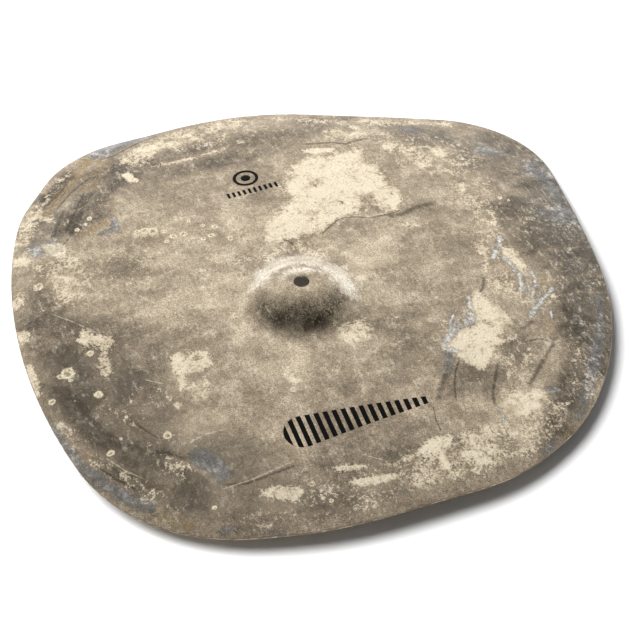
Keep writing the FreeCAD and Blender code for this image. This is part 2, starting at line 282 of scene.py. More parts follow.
def shaping(x, y):
    """What hammering and handling add to the section's height."""
    angle = np.arctan2(y, x)
    reach = rim(angle)
    at_rim = hammering(reach * np.cos(angle), reach * np.sin(angle))
    return hammering(x, y) - LEVEL_SHARE * at_rim * smooth(LEVEL_WIDTH, 0.0, reach - np.hypot(x, y))


def height(x, y):
    """The height of the refined top surface."""
    return section(np.hypot(x, y)) + shaping(x, y)


def thickness(r):
    """The sheet's thickness, measured straight down."""
    thinning = smooth(SHOULDER_REACH, SHOULDER_REACH + 60.0, r)
    return SHEET + (RIM_SHEET - SHEET) * thinning


# --- The mesh of the sheet --------------------------------------------------------------------------

# Up to this reach the rings are circles, and further out they grow into the outline.
FULL_RINGS = 110.0
# Each band is the reach where it starts and the points in each of its rings.
TOP_BANDS = [(BORE_RADIUS + 0.4, 96), (24.0, 192), (50.0, 384), (FULL_RINGS, 768)]
UNDER_BANDS = [(BORE_RADIUS + 0.4, 96), (24.0, 192), (60.0, 384), (FULL_RINGS, 384)]
# The steps from ring to ring, inside FULL_RINGS and outside it.
TOP_STEPS = (1.7, 2.0)
UNDER_STEPS = (2.6, 4.5)
RIM_SECTORS = 768
EDGE_STEPS = 6
# How far the last ring of a surface stays inside the rounded cut edge.
EDGE_CLEARANCE = 0.8
# The bore's wall, as how far each ring is outside the bore's radius and below the top. Its corners
# are broken.
BORE_WALL = [(0.12, 0.12), (0.0, 0.4), (0.0, SHEET - 0.4), (0.12, SHEET - 0.12)]
# A point's "under" number: on the top, on an edge, or underneath.
TOP, EDGE, UNDER = 0.0, 0.5, 1.0


class Sheet:
    """Collects the rings of one closed sheet and joins each ring to the one before it."""

    def __init__(self):
        self.places = []
        self.faces = []
        self.under = []
        self.last = None

    def add(self, radii, drop, under):
        """A ring of points at these radii, lower than the refined top surface by drop."""
        angle = TURN * np.arange(len(radii)) / len(radii)
        x, y = radii * np.cos(angle), radii * np.sin(angle)
        ring = range(len(self.places), len(self.places) + len(x))
        self.places += zip(x, y, height(x, y) - drop)
        self.under += [under] * len(x)
        if self.last is not None:
            self.join(self.last, ring)
        self.last = ring

    def join(self, a, b):
        """Faces between two rings with the same number of points, or one with twice the other's."""
        if len(a) == len(b):
            self.faces += [(a[i - 1], b[i - 1], b[i], a[i]) for i in range(len(a))]
            return
        coarse, fine = (a, b) if len(a) < len(b) else (b, a)
        facing = 1 if coarse is a else -1
        for i, near in enumerate(coarse):
            far = coarse[(i + 1) % len(coarse)]
            left, middle, right = fine[2 * i], fine[2 * i + 1], fine[(2 * i + 2) % len(fine)]
            faces = (near, left, middle), (near, middle, far), (far, middle, right)
            self.faces += [face[::facing] for face in faces]


def surface_rings(bands, steps, inset):
    """The radii of each ring's points, from the bore out to inset from the rim."""
    rings = []
    inner_step, outer_step = steps
    for (start, points), (end, _) in zip(bands, bands[1:]):
        count = round((end - start) / inner_step)
        rings += [np.full(points, start + (end - start) * k / count) for k in range(count)]
    points = bands[-1][1]
    reach = rim(TURN * np.arange(points) / points) - inset
    count = round((reach.mean() - FULL_RINGS) / outer_step)
    return rings + [FULL_RINGS + (reach - FULL_RINGS) * k / count for k in range(count + 1)]


def sheet_mesh():
    """The whole sheet: underside outwards, round the rim, the top back to the bore, and down the bore."""
    sheet = Sheet()
    edge = RIM_SHEET / 2
    reach = rim(TURN * np.arange(RIM_SECTORS) / RIM_SECTORS)
    full = thickness(reach)
    for radii in surface_rings(UNDER_BANDS, UNDER_STEPS, edge + EDGE_CLEARANCE):
        sheet.add(radii, thickness(radii), UNDER)
    sheet.add(reach - edge, full, UNDER)
    for step in range(1, EDGE_STEPS):
        turn = math.pi * step / EDGE_STEPS
        sheet.add(reach - edge + edge * math.sin(turn), full * (1 + math.cos(turn)) / 2, EDGE)
    sheet.add(reach - edge, 0.0, TOP)
    for radii in reversed(surface_rings(TOP_BANDS, TOP_STEPS, edge + EDGE_CLEARANCE)):
        sheet.add(radii, 0.0, TOP)
    bore_points = TOP_BANDS[0][1]
    for out, drop in BORE_WALL:
        sheet.add(np.full(bore_points, BORE_RADIUS + out), drop, EDGE)
    sheet.join(sheet.last, range(bore_points))
    return sheet


def add_to_scene(name, data):
    """A new object that holds data, in the scene, at the part's origin."""
    thing = bpy.data.objects.new(name, data)
    bpy.context.scene.collection.objects.link(thing)
    return thing


# --- Stains, painted highlight and painted shade, listed one by one -----------------------------------

# A zone is an outline, how strongly it applies, and how far its edge fades. A trace is a path and half
# its width. A drop or hole is its centre and radius. All lengths are millimetres in the part's frame.
CREAM_ZONES = [
    ([(-173, 192), (-164, 199), (-156, 188), (-150, 174), (-152, 164), (-160, 176), (-172, 181)], 0.72, 4),
    ([(-6, 70), (0, 90), (12, 98), (24, 103), (33, 117), (32, 132), (46, 144), (46, 157), (62, 163),
      (84, 160), (113, 157), (108, 143), (116, 128), (113, 112), (120, 98), (117, 86), (109, 72), (97, 72),
      (93, 86), (96, 98), (87, 97), (82, 82), (70, 79), (58, 77), (42, 66), (26, 66), (12, 62)], 0.88, 6),
    ([(0, 76), (30, 100), (44, 90), (30, 72), (10, 68)], 1, 6),
    ([(70, 120), (100, 130), (112, 100), (108, 82), (96, 100), (70, 104)], 1, 8),
    ([(136, -34), (124, -40), (120, -52), (121, -60), (116, -70), (106, -70), (90, -78), (80, -74),
      (84, -86), (94, -100), (97, -107), (107, -115), (114, -108), (124, -98), (134, -92), (130, -86),
      (142, -78), (150, -74), (146, -64), (140, -48)], 0.9, 6),
    ([(132, -44), (124, -58), (110, -78), (96, -92), (110, -104), (126, -84), (140, -66)], 1, 6),
    ([(102, -146), (118, -142), (140, -142), (144, -146), (134, -160), (120, -166), (104, -158)], 0.85, 5),
    ([(28, -172), (42, -166), (58, -165), (60, -170), (50, -180), (48, -196), (40, -196), (42, -180),
      (36, -176)], 0.95, 4),
    ([(56, -182), (66, -183), (68, -188), (60, -189)], 0.9, 3),
    ([(-30, -183), (-10, -184), (6, -188), (18, -187), (4, -194), (-13, -193), (-26, -189)], 0.8, 3),
    ([(-38, -168), (-20, -170), (-10, -175), (-16, -178), (-34, -173)], 0.8, 3),
    ([(10, -177), (34, -171), (52, -168), (42, -174), (16, -181)], 0.8, 3),
    ([(-95, -166), (-80, -167), (-66, -173), (-62, -182), (-71, -188), (-86, -179), (-95, -172)], 0.66, 4),
    ([(-176, 24), (-168, 36), (-161, 24), (-150, 19), (-148, 8), (-158, -2), (-157, -16), (-164, -24),
      (-172, -20), (-168, -4), (-163, 8), (-168, 14), (-174, 12)], 0.66, 4),
    ([(-176, 24), (-168, 34), (-163, 26), (-168, 16), (-174, 15)], 0.9, 4),
    ([(-116, -22), (-107, -20), (-104, -28), (-88, -28), (-86, -44), (-98, -48), (-109, -46), (-112, -58),
      (-120, -60), (-118, -44)], 0.8, 4),
    ([(-120, -56), (-92, -52), (-97, -70), (-100, -79), (-105, -77), (-112, -66)], 0.66, 5),
    ([(-85, 204), (-78, 204), (-76, 194), (-72, 190), (-76, 185), (-83, 190)], 1, 2),
    ([(-205, 102), (-196, 104), (-194, 96), (-200, 84), (-208, 76), (-214, 78), (-210, 96)], 0.62, 4),
    ([(-219, 62), (-208, 57), (-205, 48), (-210, 41), (-220, 38)], 0.66, 4),
    ([(-221, 20), (-214, 17), (-213, -4), (-215, -18), (-222, -18)], 0.6, 3),
    ([(-195, 141), (-186, 138), (-182, 130), (-188, 125), (-198, 131)], 0.95, 3),
    ([(-170, 142), (-158, 140), (-152, 134), (-156, 120), (-166, 121), (-170, 130)], 0.85, 4),
    ([(-80, 228), (-60, 238), (-20, 250), (20, 248), (42, 238), (26, 227), (0, 226), (-16, 222), (-46, 222),
      (-60, 206), (-74, 208), (-82, 220)], 0.6, 5),
    ([(-60, 204), (-20, 201), (8, 205), (6, 201), (-20, 197), (-56, 199)], 0.8, 3),
    ([(60, 176), (76, 173), (90, 169), (86, 163), (70, 165)], 1, 3),
    ([(60, 236), (90, 222), (140, 204), (200, 190), (206, 176), (140, 188), (90, 206), (60, 222)], 0.5, 8),
    ([(88, 196), (120, 200), (124, 178), (104, 174), (84, 184)], 0.62, 6),
    ([(128, 160), (136, 160), (136, 154), (128, 154)], 0.95, 3),
    ([(162, 152), (176, 148), (176, 132), (164, 130)], 0.85, 5),
    ([(168, 98), (176, 94), (174, 80), (167, 82)], 0.8, 4),
    ([(-42, -70), (-34, -71), (-30, -84), (-37, -86), (-42, -78)], 0.75, 3),
    ([(150, 20), (162, 20), (160, 4), (152, -14), (146, -20), (152, 0)], 0.72, 4),
    ([(172, 10), (182, 6), (184, -20), (176, -30), (168, -8)], 0.75, 4),
    # Partly cream crust and partly a painted highlight round the back and right of the bell, where its root
    # catches the light.
    ([(-60, 64), (-30, 64), (0, 54), (30, 46), (54, 28), (56, -8), (44, -20), (40, 14), (20, 36), (-16, 42),
      (-50, 50)], 0.42, 9),
    ([(12, -40), (38, -36), (44, -50), (34, -62), (14, -58)], 0.72, 8),
    ([(-34, 42), (-10, 58), (14, 66), (34, 56), (44, 34), (30, 36), (10, 46), (-12, 46)], 0.52, 9),
    ([(-104, 122), (-84, 123), (-74, 114), (-80, 108), (-100, 112)], 0.55, 4),
    ([(-164, -46), (-152, -44), (-152, -54), (-163, -55)], 0.42, 4),
    ([(-129, -70), (-125, -68), (-121, -71), (-122, -75), (-127, -76)], 1, 1.5),
]
FLECK_ZONES = [
    ([(-14, 66), (-6, 96), (24, 112), (24, 140), (44, 168), (120, 168), (124, 130), (124, 80),
      (60, 70)], 0.42, 12),
    ([(140, -28), (110, -40), (74, -76), (92, -112), (128, -112), (158, -76)], 0.36, 8),
    ([(-196, 128), (-150, 122), (-140, 90), (-150, 60), (-176, 66), (-182, 100)], 0.46, 10),
    ([(-150, 118), (-100, 124), (-30, 112), (-30, 80), (-60, 30), (-120, 20), (-150, 60)], 0.27, 16),
    ([(-110, 30), (-80, 10), (-90, -20), (-112, -16), (-124, 10)], 0.26, 10),
    ([(60, 176), (140, 182), (200, 168), (214, 120), (180, 98), (128, 104), (124, 150)], 0.34, 12),
    ([(0, -174), (100, -160), (130, -196), (60, -206), (10, -208)], 0.5, 9),
    ([(140, 168), (158, 150), (166, 124), (146, 120), (138, 140)], 0.5, 8),
    ([(160, 96), (200, 96), (190, 60), (178, 20), (150, 10), (164, 60)], 0.42, 9),
    ([(96, 56), (150, 56), (148, 36), (112, 40)], 0.36, 8),
    ([(140, -20), (186, -16), (196, -60), (160, -72), (150, -44)], 0.42, 8),
    ([(104, -172), (130, -142), (158, -160), (146, -186), (104, -204)], 0.44, 9),
    ([(108, -104), (152, -96), (152, -128), (120, -140)], 0.36, 8),
    ([(190, -90), (204, -130), (172, -170), (160, -150), (176, -120)], 0.3, 6),
    ([(-60, -166), (30, -170), (96, -160), (110, -206), (0, -222), (-80, -214)], 0.27, 12),
    ([(186, 60), (244, 60), (250, -40), (216, -120), (190, -150), (184, -90), (204, -20)], 0.24, 10),
    ([(40, 56), (20, 20), (70, -20), (104, -10), (80, 40)], 0.26, 12),
    ([(-120, 240), (-176, 190), (-196, 150), (-180, 140), (-160, 180), (-110, 226)], 0.45, 6),
    ([(-180, -40), (-120, -40), (-120, -110), (-160, -100), (-182, -70)], 0.24, 10),
    ([(-164, -116), (-146, -108), (-128, -134), (-140, -142)], 0.36, 6),
    ([(-200, -60), (-206, -100), (-176, -150), (-120, -196), (-60, -215), (-70, -190), (-130, -170),
      (-186, -110)], 0.2, 8),
    ([(-220, -46), (-206, -98), (-172, -152), (-160, -144), (-190, -96), (-208, -48)], 0.3, 4),
    ([(-48, -28), (-26, -28), (-26, -96), (-46, -96)], 0.28, 8),
    ([(0, -60), (60, -40), (80, -70), (30, -90)], 0.22, 12),
    ([(-40, 222), (20, 226), (80, 204), (60, 196), (-30, 204)], 0.27, 6),
]
# Painted highlight: pale zones round the back and top of the bell, where its root and dome catch the light
# from behind.
PAINTED_HIGHLIGHT_ZONES = [
    ([(-34, 18), (-28, 32), (-16, 41), (-2, 46), (10, 46), (21, 41), (31, 32), (38, 18), (42, 6), (44, -8),
      (38, -17), (29, -14), (27, -5), (24, 6), (18, 14), (10, 20), (0, 25), (-10, 24), (-20, 19),
      (-28, 12)], 0.82, 9),
    ([(-24, 22), (-14, 34), (2, 38), (12, 33), (2, 27), (-10, 24)], 1.15, 8),
    ([(30, 14), (36, 20), (42, 4), (42, -10), (36, -12), (33, 2)], 0.9, 6),
    ([(-12, 10), (-10, 18), (0, 20), (12, 17), (18, 8), (8, 8), (0, 10)], 0.7, 5),
]
VEIL_ZONES = [
    ([(-156, -56), (-124, -46), (-96, -60), (-98, -98), (-136, -98), (-152, -80)], 0.32, 9),
    ([(-100, 56), (-104, 84), (-84, 120), (-50, 122), (-10, 116), (12, 116), (20, 100), (4, 84), (-4, 64),
      (-40, 54), (-70, 50)], 0.34, 14),
    ([(-150, 60), (-130, 24), (-100, 10), (-60, 40), (-70, 60), (-110, 76), (-140, 80)], 0.34, 12),
    ([(40, 56), (60, 62), (90, 58), (104, 30), (122, 0), (110, -26), (70, -26), (50, -18), (48, 10),
      (36, 36), (20, 48)], 0.42, 12),
    ([(-46, 8), (-50, 30), (-36, 44), (-20, 50), (-60, 60), (-76, 20), (-66, -20), (-62, -64), (-30, -78),
      (20, -82), (50, -70), (42, -48), (10, -50), (-18, -46), (-40, -28)], 0.38, 9),
    ([(-126, 160), (-104, 162), (-96, 140), (-100, 120), (-120, 124)], 0.3, 8),
    ([(0, -176), (60, -178), (120, -160), (130, -196), (80, -208), (0, -218), (-30, -200)], 0.35, 10),
    ([(70, -76), (84, -60), (104, -52), (96, -44), (70, -56)], 0.4, 6),
]
# Places where the crust has holes.
HOLES = [
    (40, 84, 7), (68, 95, 6), (58, 126, 8), (48, 141, 3), (112, 95, 3), (15, 64, 4), (140, -84, 4),
    (128, -70, 5), (112, -96, 4), (92, 190, 3), (110, 190, 6), (12, 230, 5), (-5, 238, 4), (-33, 236, 5),
    (-98, -34, 4),
]
DARK_ZONES = [
    ([(-154, 210), (-141, 218), (-126, 232), (-117, 234), (-125, 220), (-137, 208), (-149, 195),
      (-156, 198)], 1.1, 4),
    ([(-127, 196), (-112, 195), (-97, 202), (-89, 189), (-104, 170), (-116, 161), (-125, 166), (-142, 145),
      (-157, 146), (-156, 153), (-140, 175)], 1.05, 7),
    # Partly dark patina and partly painted shade: the sheet beyond the lower-left fold, where it turns down
    # towards the front.
    ([(-198, -92), (-176, -110), (-140, -112), (-120, -148), (-130, -174), (-160, -162),
      (-190, -126)], 0.86, 9),
    ([(86, -200), (112, -190), (130, -174), (152, -152), (172, -160), (150, -188), (116, -204)], 0.62, 7),
    ([(42, -34), (80, -36), (92, -60), (74, -92), (40, -92), (36, -62)], 0.3, 11),
    # Partly dark patina and partly painted shade: the band just beyond the lower-left fold, where the sheet
    # turns down towards the front.
    ([(-214, -6), (-198, -6), (-194, -52), (-182, -78), (-168, -96), (-140, -110), (-150, -132),
      (-178, -116), (-204, -72)], 1.05, 7),
    ([(-206, 30), (-176, 30), (-170, -20), (-176, -56), (-196, -56), (-210, -10)], 0.95, 9),
    ([(-160, 0), (-140, 0), (-136, -36), (-160, -36)], 0.85, 8),
    ([(-156, 150), (-128, 190), (-84, 232), (-72, 206), (-72, 190), (-98, 186), (-110, 150), (-126, 146),
      (-140, 140)], 0.95, 8),
    ([(-156, 196), (-120, 226), (-116, 232), (-136, 220), (-158, 202)], 0.9, 4),
    ([(-70, 196), (0, 196), (20, 214), (60, 214), (84, 192), (60, 184), (20, 176), (-60, 178)], 0.62, 7),
    ([(-184, 104), (-202, 80), (-214, 40), (-214, -34), (-196, -92), (-160, -108), (-130, -104), (-122, -60),
      (-140, 0), (-140, 30), (-164, 40), (-176, 70)], 0.78, 12),
    ([(-150, 20), (-126, 30), (-116, -10), (-120, -40), (-160, -36)], 0.62, 9),
    ([(-200, -70), (-150, -100), (-90, -110), (-60, -150), (0, -160), (100, -170), (110, -212), (0, -224),
      (-100, -212), (-170, -160)], 0.55, 14),
    ([(180, 62), (206, 70), (252, 44), (264, -30), (246, -90), (206, -150), (186, -140), (176, -110),
      (196, -40), (182, 10)], 0.85, 9),
    ([(196, 104), (206, 100), (202, 78), (192, 80)], 0.6, 5),
    ([(236, 176), (268, 124), (272, 60), (268, 0), (238, 30), (240, 110), (206, 158)], 0.7, 7),
    ([(84, -106), (120, -112), (128, -126), (100, -140), (84, -136), (68, -130)], 0.6, 8),
    ([(-10, -130), (50, -150), (20, -172), (-50, -160)], 0.3, 12),
    ([(-60, -176), (-34, -188), (-12, -197), (22, -201), (18, -208), (-24, -209), (-68, -200)], 0.8, 6),
    # Partly dark patina and partly painted shade: the front of the bell's root, which faces away from the
    # light.
    ([(-42, -6), (-30, -12), (-12, -20), (10, -20), (34, -10), (40, -20), (28, -34), (0, -46), (-24, -38),
      (-40, -22)], 0.5, 9),
    ([(110, 80), (150, 76), (156, 50), (120, 60)], 0.35, 8),
    ([(-8, 110), (14, 140), (24, 118), (10, 102), (-20, 96)], 0.3, 8),
    ([(-130, 100), (-104, 100), (-98, 70), (-130, 66)], 0.35, 10),
    ([(80, 190), (128, 214), (110, 218), (84, 226), (74, 220)], 0.5, 4),
    ([(60, 8), (100, 34), (110, 20), (96, -24), (66, -20)], 0.4, 10),
    ([(130, -92), (152, -84), (156, -104), (140, -116), (128, -104)], 0.6, 5),
    ([(130, 204), (166, 188), (190, 178), (192, 150), (160, 150), (140, 176)], 0.7, 9),
    ([(190, 150), (214, 146), (252, 116), (274, 70), (274, 10), (264, -40), (236, -20), (232, 40), (214, 84),
      (190, 110), (180, 120)], 0.8, 11),
    ([(202, 0), (197, -50), (182, -87), (172, -113), (165, -128), (180, -140), (196, -128), (216, -98),
      (226, -74), (224, -40), (226, 0)], 0.82, 8),
    ([(165, -128), (151, -145), (133, -171), (117, -201), (133, -192), (155, -175), (171, -159),
      (194, -132)], 0.8, 6),
    ([(-186, 146), (-172, 172), (-150, 200), (-120, 226), (-108, 214), (-140, 184), (-166, 148)], 0.6, 6),
    ([(-136, 200), (-110, 224), (-60, 220), (-10, 218), (40, 216), (56, 204), (40, 197), (-10, 206),
      (-60, 196), (-100, 190)], 0.75, 6),
    # Partly dark patina and partly painted shade: this zone and the two below darken the steep front and
    # left flank of the bell, which face away from the light.
    ([(-26, -8), (-14, -14), (6, -18), (26, -12), (34, -18), (26, -30), (4, -40), (-18, -34),
      (-30, -22)], 0.9, 8),
    ([(-14, -24), (0, -26), (18, -24), (18, -34), (4, -42), (-12, -38)], 1.25, 7),
    ([(-36, 12), (-28, 4), (-26, -10), (-20, -22), (-14, -34), (-30, -30), (-40, -20), (-43, -6),
      (-42, 4)], 0.85, 6),
]
# Where the skin is smooth and has little fine mottling.
CALM_ZONES = [
    ([(-212, 16), (-188, 30), (-176, 6), (-150, 4), (-136, -40), (-128, -84), (-100, -96), (-74, -140),
      (-60, -190), (-120, -186), (-164, -160), (-196, -110), (-212, -50)], 1, 12),
    ([(-60, -176), (-34, -188), (-12, -197), (22, -201), (18, -208), (-24, -209), (-68, -200)], 0.8, 5),
]
BLOOM_ZONES = [
    ([(-166, 156), (-150, 172), (-142, 170), (-156, 150)], 0.5, 4),
    ([(-184, 148), (-172, 150), (-169, 134), (-178, 130)], 0.8, 4),
    ([(-170, 150), (-156, 148), (-154, 130), (-168, 126)], 0.5, 5),
    ([(-128, 131), (-108, 131), (-106, 147), (-111, 146), (-113, 137), (-126, 134)], 0.95, 2),
    ([(-132, -117), (-120, -116), (-110, -130), (-107, -150), (-118, -152), (-122, -138),
      (-132, -128)], 0.85, 3),
    ([(-221, -30), (-215, -50), (-203, -98), (-186, -128), (-168, -150), (-170, -162), (-190, -140),
      (-208, -108), (-221, -60)], 0.7, 4),
    ([(-134, -188), (-120, -189), (-118, -194), (-134, -196)], 0.6, 3),
    ([(-100, -202), (-90, -204), (-90, -210), (-102, -209)], 0.5, 3),
    ([(200, 142), (208, 146), (226, 138), (226, 128), (204, 130)], 0.65, 5),
    ([(152, 186), (168, 186), (172, 172), (156, 172)], 0.55, 6),
    ([(232, 116), (256, 124), (257, 60), (250, -20), (244, 20), (212, 36), (210, 46), (240, 56)], 0.55, 8),
    ([(226, -56), (232, -60), (214, -104), (184, -152), (160, -180), (156, -176), (184, -130),
      (206, -100)], 0.65, 4),
    ([(120, -192), (136, -190), (130, -200), (116, -202)], 0.6, 3),
    ([(206, 60), (250, 110), (256, 0), (226, -90), (170, -172), (150, -180), (190, -110),
      (210, -20)], 0.3, 8),
    ([(180, 170), (226, 170), (250, 120), (210, 120)], 0.26, 8),
    ([(144, -142), (156, -140), (156, -150), (146, -152)], 0.6, 4),
    ([(-98, 239), (-84, 238), (-62, 245), (-40, 250), (-36, 264), (-106, 264)], 1, 2),
    ([(84, -88), (92, -92), (88, -101), (80, -112), (74, -112), (79, -100)], 0.62, 3),
    ([(196, -60), (214, -50), (226, -74), (208, -104), (190, -100)], 0.34, 7),
]
OCHRE_ZONES = [
    ([(-93, 238), (-85, 228), (-94, 207), (-107, 191), (-120, 191), (-126, 193), (-124, 208), (-113, 223),
      (-103, 235)], 0.55, 6),
    ([(-94, 246), (-106, 228), (-124, 208), (-140, 190), (-154, 184), (-156, 190), (-140, 208), (-124, 226),
      (-106, 246)], 0.95, 4),
    ([(-142, 140), (-128, 146), (-114, 147), (-112, 140), (-126, 138), (-138, 134)], 0.85, 3),
    ([(-162, 188), (-150, 188), (-150, 178), (-160, 178)], 0.7, 4),
    ([(-120, 216), (-96, 222), (-90, 232), (-84, 214), (-104, 206)], 0.35, 6),
    ([(174, -40), (184, -44), (184, -58), (172, -56)], 0.6, 4),
    ([(164, 0), (170, -2), (168, -14), (163, -12)], 0.7, 2),
    ([(168, -80), (180, -80), (178, -92), (168, -92)], 0.65, 4),
    ([(100, -146), (110, -146), (122, -156), (108, -162), (100, -156)], 0.55, 4),
    ([(-178, -154), (-168, -154), (-140, -176), (-150, -184), (-172, -166)], 0.6, 3),
    ([(140, -186), (164, -176), (168, -184), (144, -198)], 0.6, 3),
    ([(-208, -84), (-200, -84), (-198, -94), (-206, -94)], 0.6, 3),
    ([(-80, -174), (-70, -172), (-66, -182), (-78, -184)], 0.4, 3),
    ([(184, -34), (192, -34), (192, -42), (184, -42)], 0.6, 3),
]
STREAKS = [
    ([(177, 22), (173, 14), (169, 8), (163, 0), (159, -5)], 2.6),
    ([(168, 0), (171, -12), (173, -26), (170, -38), (164, -46)], 2),
    ([(184, -22), (184, -32), (181, -40), (172, -54)], 1.7),
    ([(195, -44), (186, -52), (176, -60), (160, -74)], 2),
    ([(182, -68), (179, -78)], 1.2),
    ([(125, -38), (122, -46), (121, -54)], 2),
    ([(121, -54), (116, -65), (106, -66), (97, -72), (90, -79), (84, -85)], 3.2),
    ([(110, -50), (101, -60), (97, -70)], 1.4),
    ([(84, -85), (90, -89), (95, -94)], 2.2),
    ([(102, -150), (104, -160), (100, -168)], 0.9),
]
DARK_TRACES = [
    ([(38, 62), (48, 69), (58, 76), (66, 77), (76, 74), (84, 70), (100, 70), (113, 72)], 0.9),
    ([(96, 68), (110, 67), (124, 72), (142, 74)], 3),
    ([(64, 183), (76, 180), (90, 177), (100, 171), (112, 173), (122, 173)], 1.2),
    ([(78, -108), (71, -119), (61, -133)], 2.6),
    ([(94, -97), (86, -108), (80, -120), (74, -139)], 0.9),
    ([(120, -110), (112, -124), (104, -138), (101, -150)], 1.3),
    # Painted shade: this dark trace follows the valley at the right.
    ([(176, -95), (160, -112), (146, -126), (133, -139)], 2),
    ([(146, -96), (160, -95), (172, -102)], 0.8),
    ([(164, -76), (156, -81), (150, -82)], 2),
    # Painted shade: this wide dark trace follows the lower-left fold, where the sheet bends down.
    ([(-202, -16), (-195, -36), (-191, -56), (-184, -76), (-177, -89), (-170, -97), (-155, -106),
      (-143, -109)], 5),
    ([(-152, -104), (-144, -112), (-134, -122)], 1.8),
    ([(-160, -74), (-152, -90), (-145, -99)], 0.8),
    ([(-200, -98), (-188, -118), (-176, -134)], 1),
    # Painted shade: this dark trace lies beside the pale scratch at the front.
    ([(-118, -153), (-100, -159), (-60, -157)], 1.1),
    ([(145, -22), (140, -32), (134, -38)], 1.6),
    ([(-156, 132), (-148, 140), (-138, 152), (-126, 172)], 1.4),
    ([(56, -136), (53, -150), (53, -162)], 0.6),
    ([(8, 68), (14, 62), (13, 58)], 1),
    ([(-160, 146), (-150, 164), (-140, 180)], 2.2),
    ([(-150, 146), (-136, 168), (-118, 196)], 1.2),
    ([(-142, 150), (-128, 172), (-112, 190)], 1.2),
    ([(-156, 192), (-136, 208), (-118, 228)], 2.4),
    ([(-146, 184), (-128, 202), (-108, 214)], 1.2),
    ([(-98, 236), (-82, 235), (-62, 242), (-38, 248)], 1),
]
PALE_TRACES = [
    ([(-120, -157), (-96, -157), (-58, -153)], 0.5),
    ([(-130, -109), (-112, -106), (-96, -107)], 0.6),
    ([(-98, 62), (-86, 65), (-76, 66)], 0.7),
    ([(-50, 61), (-40, 60), (-30, 56)], 0.8),
    ([(-190, -97), (-180, -114), (-166, -130)], 0.5),
    ([(-12, -164), (2, -174)], 0.4),
    ([(-140, -38), (-128, -48)], 0.5),
    ([(-186, 62), (-172, 44), (-156, 20)], 0.5),
    ([(-124, 60), (-104, 30), (-90, 10)], 0.9),
    ([(-42, 14), (-40, 30), (-34, 44)], 1),
    ([(60, 78), (72, 77), (84, 72), (104, 72)], 0.7),
]
DROPS = [
    (-192, -6, 6), (-198, -6, 2.6), (-177, -37, 3.6), (-211, -28, 3), (-195, -35, 1.3), (-170, 7, 3),
    (-141, -96, 3.6), (-186, 96, 4.2), (-71, 105, 3), (-63, 104, 3.2), (-45, 108, 2.2), (-37, 103, 2.8),
    (-50, 92, 2.2), (-43, 94, 2.6), (-30, 84, 2.6), (-90, 121, 4), (-84, 118, 4.4), (-76, 114, 2.2),
    (-78, 101, 2), (-96, 123, 2.2), (-96, -33, 7), (-174, -85, 1.6), (-47, -195, 1.8), (-52, -191, 1.8),
    (-185, -95, 3), (-139, 147, 2.6), (-131, 150, 2), (-126, 156, 2.4), (-192, -14, 1.6), (-58, 88, 1.2),
    (-62, 88, 1), (-113, 177, 1.2), (-54, 118, 2.2), (-164, -67, 1.6), (-129, -170, 2), (-190, 68, 1.2),
    (-39, -90, 2.4), (196, 68, 2), (202, 64, 1.6),
]


def outline_distance(x, y, points):
    """The distance to a closed outline, negative inside it."""
    distance = path_distance(x, y, points + points[:1])[0]
    inside = np.zeros(np.shape(x), bool)
    for (ax, ay), (bx, by) in zip(points, points[1:] + points[:1]):
        if ay != by:
            inside ^= ((ay > y) != (by > y)) & (x < ax + (y - ay) * (bx - ax) / (by - ay))
    return np.where(inside, -distance, distance)


def zone_strength(x, y, zones):
    """How strongly the strongest zone applies at each place."""
    best = np.zeros(np.shape(x))
    for points, strength, fade in zones:
        best = np.maximum(best, strength * smooth(fade, -fade, outline_distance(x, y, points)))
    return best


# How far from its path a trace can still be drawn.
TRACE_REACH = 7.0


def trace_fields(x, y, traces):
    """How far across the nearest trace places are, and whether they are beside it.

    How far across is a share of the trace's half width, and has a sign for the side.
    """
    best = np.full(np.shape(x), 1e9)
    across = np.zeros(np.shape(x))
    beside = np.zeros(np.shape(x))
    for points, half_width in traces:
        distance, along, side = path_distance(x, y, points)
        nearer = distance < best
        best = np.where(nearer, distance, best)
        across = np.where(nearer, side * distance / half_width, across)
        near = fade_ends(along, 0.08) * smooth(TRACE_REACH, 0.6 * TRACE_REACH, distance)
        beside = np.where(nearer, near, beside)
    return across, beside


# The number that says a place is far from every drop.
NO_DROP = 5.0


def drop_reach(x, y):
    """The distance to the nearest dried drop's centre, as a share of its radius."""
    best = np.full(np.shape(x), NO_DROP)
    for cx, cy, radius in DROPS:
        best = np.minimum(best, np.hypot(x - cx, y - cy) / radius)
    return best


def stains_and_painted_light(x, y):
    """Each stain, painted highlight and painted shade of the top surface, as a number at every place."""
    cream = np.maximum(zone_strength(x, y, CREAM_ZONES), zone_strength(x, y, FLECK_ZONES))
    for cx, cy, radius in HOLES:
        cream -= 0.4 * smooth(1.2 * radius, 0.2 * radius, np.hypot(x - cx, y - cy))
    fields = {
        "cream": cream,
        "dark": zone_strength(x, y, DARK_ZONES) - zone_strength(x, y, VEIL_ZONES),
        "bell": smooth(BELL_RADIUS - 6.0, 0.6 * BELL_RADIUS, np.hypot(x, y)),
        "calm": zone_strength(x, y, CALM_ZONES),
        "bloom": zone_strength(x, y, BLOOM_ZONES),
        "ochre": zone_strength(x, y, OCHRE_ZONES),
        "painted_highlight": zone_strength(x, y, PAINTED_HIGHLIGHT_ZONES),
    }
    for name, traces in (("streak", STREAKS), ("dark_trace", DARK_TRACES), ("pale_trace", PALE_TRACES)):
        fields[name + "_across"], fields[name] = trace_fields(x, y, traces)
    return fields


def set_field(mesh, name, values):
    """Store one number for each point of a mesh, for its material to read."""
    field = mesh.attributes.new(name, "FLOAT", "POINT")
    field.data.foreach_set("value", np.asarray(values, np.float32))


